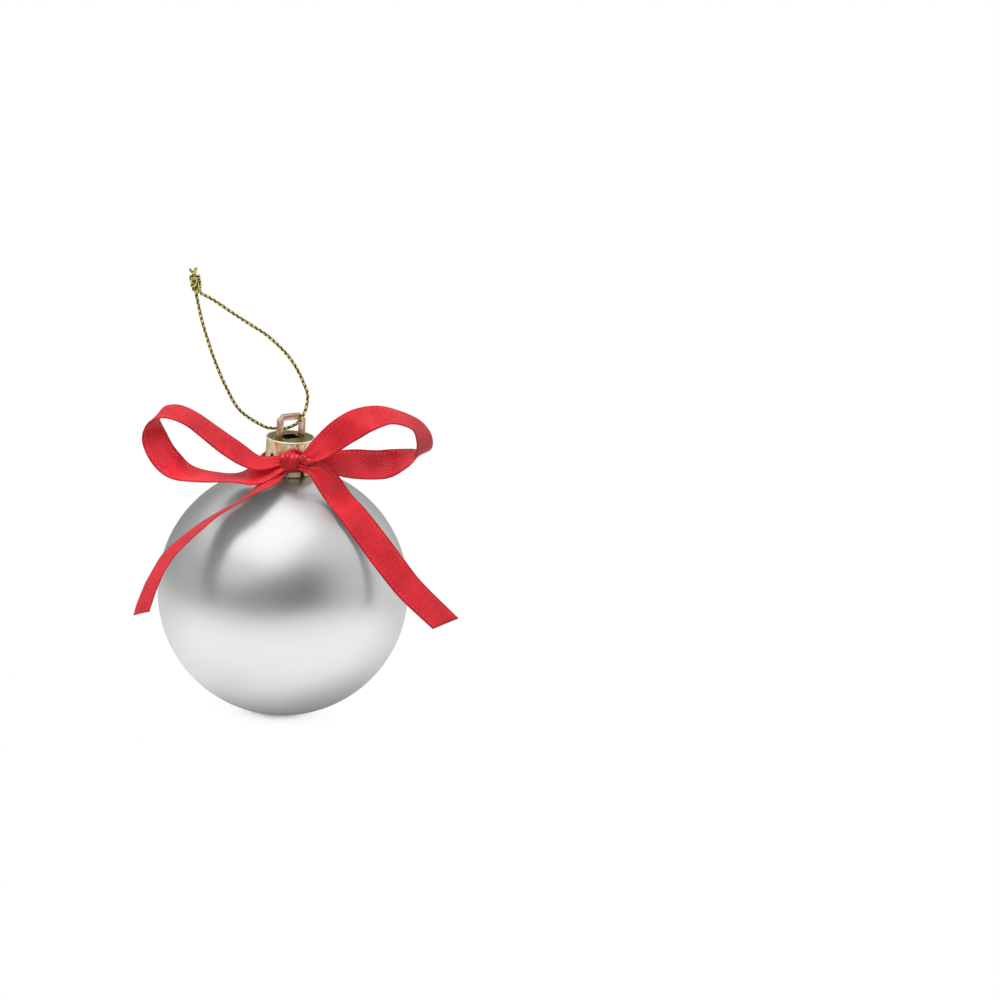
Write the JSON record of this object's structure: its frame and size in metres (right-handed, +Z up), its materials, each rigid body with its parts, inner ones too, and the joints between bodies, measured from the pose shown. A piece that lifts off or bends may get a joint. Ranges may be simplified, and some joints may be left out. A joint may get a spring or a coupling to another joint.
{
  "type": "ball ornament",
  "caption": "Hanging ball ornament: satin silver ball, gold cap with split skirt and cord eye, red satin bow tied round the cap and a looped, knotted gold cord.",
  "frame": {"origin": "hanging point inside the cord's loop, just under its knot, where a hook or a twig holds the ornament", "axes": "+Z up along the ball's axis, -Y towards the bow's front, +X to the right as seen from the front"},
  "size_m": [0.0779, 0.0646, 0.1125],
  "materials": {
    "satin_silver": "satin silver coating, opaque",
    "champagne_gold": "polished gold plating",
    "red_satin": "satin weave",
    "gold_cord": "twisted metallic thread"
  },
  "bodies": {
    "cord": {"hang_cord": "gold_cord", "cord_knot": "gold_cord", "cord_end_short": "gold_cord", "cord_end_long": "gold_cord"},
    "cap": {"cap": "champagne_gold"},
    "ball": {"glass_ball": "satin_silver"},
    "bow": {"ribbon_band": "red_satin", "bow_knot": "red_satin", "bow_loop_left": "red_satin", "bow_loop_right": "red_satin", "bow_tail_left": "red_satin", "bow_tail_right": "red_satin"}
  },
  "joints": [
    {"name": "ball_swing", "type": "hinge", "parent": "cord", "child": "cap", "pos_m": [0.0226, 0.01202, -0.0345], "axis": [0.4695, -0.8829, 0], "range_deg": [-15, 70]},
    {"name": "ball_pull", "type": "slide", "parent": "cap", "child": "ball", "axis": [0, 0, -1], "range_m": [0, 0.009]},
    {"name": "bow_turn", "type": "hinge", "parent": "cap", "child": "bow", "pos_m": [0.0226, 0.01202, -0.042], "axis": [0, 0, 1], "range_deg": [-90, 180]}
  ]
}
